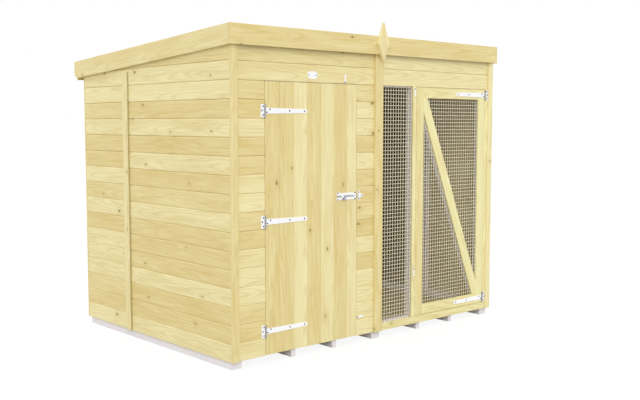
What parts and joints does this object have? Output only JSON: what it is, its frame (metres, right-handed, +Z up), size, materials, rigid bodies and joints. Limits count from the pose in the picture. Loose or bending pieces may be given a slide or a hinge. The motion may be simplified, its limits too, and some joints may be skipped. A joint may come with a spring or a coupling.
{
  "type": "dog kennel and run",
  "caption": "Shiplap dog kennel with a boarded door and a weldmesh run with a braced mesh door, under one sloping felt roof with fascias and a diamond finial, raised on bearers.",
  "frame": {"origin": "middle of the footprint of the whole, on the ground under the bearers", "axes": "+X to the right along the front as seen by someone facing the doors, +Y from the front to the back, +Z up"},
  "size_m": [2.48, 1.922, 2.1195],
  "materials": {
    "shiplap": "pressure-treated softwood boards",
    "trim_timber": "planed pressure-treated softwood",
    "door_timber": "planed pressure-treated softwood",
    "framing_timber": "sawn pale softwood",
    "roof_felt": "green mineral felt",
    "weldmesh": "galvanised welded wire",
    "zinc_hardware": "bright zinc plate"
  },
  "bodies": {
    "building": {"bearers_wide": "framing_timber", "bearers_narrow": "framing_timber", "kennel_floor": "framing_timber", "run_floor": "framing_timber", "kennel_front_frame": "framing_timber", "run_front_frame": "framing_timber", "back_wall_frame": "framing_timber", "left_wall_frame": "framing_timber", "right_wall_frame": "framing_timber", "partition_frame": "framing_timber", "partition_boards": "framing_timber", "rafters": "framing_timber", "roof_boards": "framing_timber", "kennel_left_boards": "shiplap", "kennel_right_boards": "shiplap", "kennel_header_boards": "shiplap", "run_header_boards": "shiplap", "left_front_boards": "shiplap", "left_back_boards": "shiplap", "right_front_boards": "shiplap", "right_back_boards": "shiplap", "back_run_boards": "shiplap", "back_kennel_boards": "shiplap", "corner_strips": "trim_timber", "centre_strip": "trim_timber", "joint_strips": "trim_timber", "front_fascia": "trim_timber", "left_fascia": "trim_timber", "right_fascia": "trim_timber", "rear_fascia": "trim_timber", "finial": "trim_timber", "run_sill_board": "trim_timber", "run_post_board": "trim_timber", "run_jamb_board": "trim_timber", "roof_felt": "roof_felt", "fixed_panel_mesh": "weldmesh", "kennel_hinge_plates": "zinc_hardware", "run_hinge_plates": "zinc_hardware", "padbolt_keep": "zinc_hardware", "button_screws": "zinc_hardware"},
    "kennel_door": {"kennel_door_boards": "door_timber", "kennel_door_ledges": "framing_timber", "kennel_hinge_straps": "zinc_hardware", "padbolt_plate": "zinc_hardware"},
    "run_door": {"run_door_face_frame": "door_timber", "run_door_brace": "door_timber", "run_door_inner_frame": "framing_timber", "run_door_mesh": "weldmesh", "run_hinge_straps": "zinc_hardware"},
    "padbolt": {"padbolt_bolt": "zinc_hardware"},
    "kennel_top_button": {"kennel_button_top": "zinc_hardware"},
    "kennel_low_button": {"kennel_button_low": "zinc_hardware"},
    "run_top_button": {"run_button_top": "zinc_hardware"},
    "run_low_button": {"run_button_low": "zinc_hardware"}
  },
  "joints": [
    {"name": "kennel_door_swing", "type": "hinge", "parent": "building", "child": "kennel_door", "pos_m": [-0.9615, -0.91, 0.867], "axis": [0, 0, -1], "range_deg": [0, 165]},
    {"name": "run_door_swing", "type": "hinge", "parent": "building", "child": "run_door", "pos_m": [1.1375, -0.916, 0.905], "axis": [0, 0, 1], "range_deg": [0, 165]},
    {"name": "padbolt_slide", "type": "slide", "parent": "kennel_door", "child": "padbolt", "axis": [1, 0, 0], "range_m": [0, 0.03]},
    {"name": "kennel_top_button_turn", "type": "hinge", "parent": "building", "child": "kennel_top_button", "pos_m": [-0.305, -0.9078, 1.722], "axis": [0, -1, 0], "continuous": true},
    {"name": "kennel_low_button_turn", "type": "hinge", "parent": "building", "child": "kennel_low_button", "pos_m": [-0.186, -0.9078, 0.176], "axis": [0, -1, 0], "continuous": true},
    {"name": "run_top_button_turn", "type": "hinge", "parent": "building", "child": "run_top_button", "pos_m": [0.3595, -0.9138, 1.695], "axis": [0, -1, 0], "continuous": true},
    {"name": "run_low_button_turn", "type": "hinge", "parent": "building", "child": "run_low_button", "pos_m": [0.3595, -0.9138, 0.438], "axis": [0, -1, 0], "continuous": true}
  ]
}
